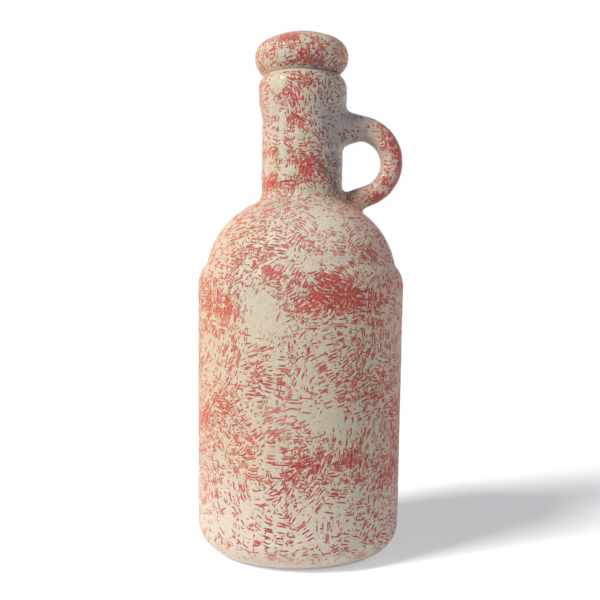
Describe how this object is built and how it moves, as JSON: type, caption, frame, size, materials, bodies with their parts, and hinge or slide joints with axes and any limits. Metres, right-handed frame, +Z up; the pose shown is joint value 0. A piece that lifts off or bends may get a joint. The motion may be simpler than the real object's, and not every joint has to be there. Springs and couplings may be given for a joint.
{
  "type": "oil storage bottle",
  "caption": "Glazed ceramic oil bottle with a rounded shoulder, a dome, a tall neck with a ring handle, and a mushroom-shaped stopper.",
  "frame": {"origin": "centre of the foot ring, on the surface that the bottle stands on; X and Y at the axis of the turned body", "axes": "+Z up along the bottle's axis to the stopper; +X from the axis out through the ring handle; +Y away from the front view"},
  "size_m": [0.105, 0.105, 0.2643],
  "materials": {
    "bottle_glaze": "gloss",
    "stopper_glaze": "gloss"
  },
  "bodies": {
    "root": {"bottle": "bottle_glaze", "stopper": "stopper_glaze"}
  },
  "joints": []
}
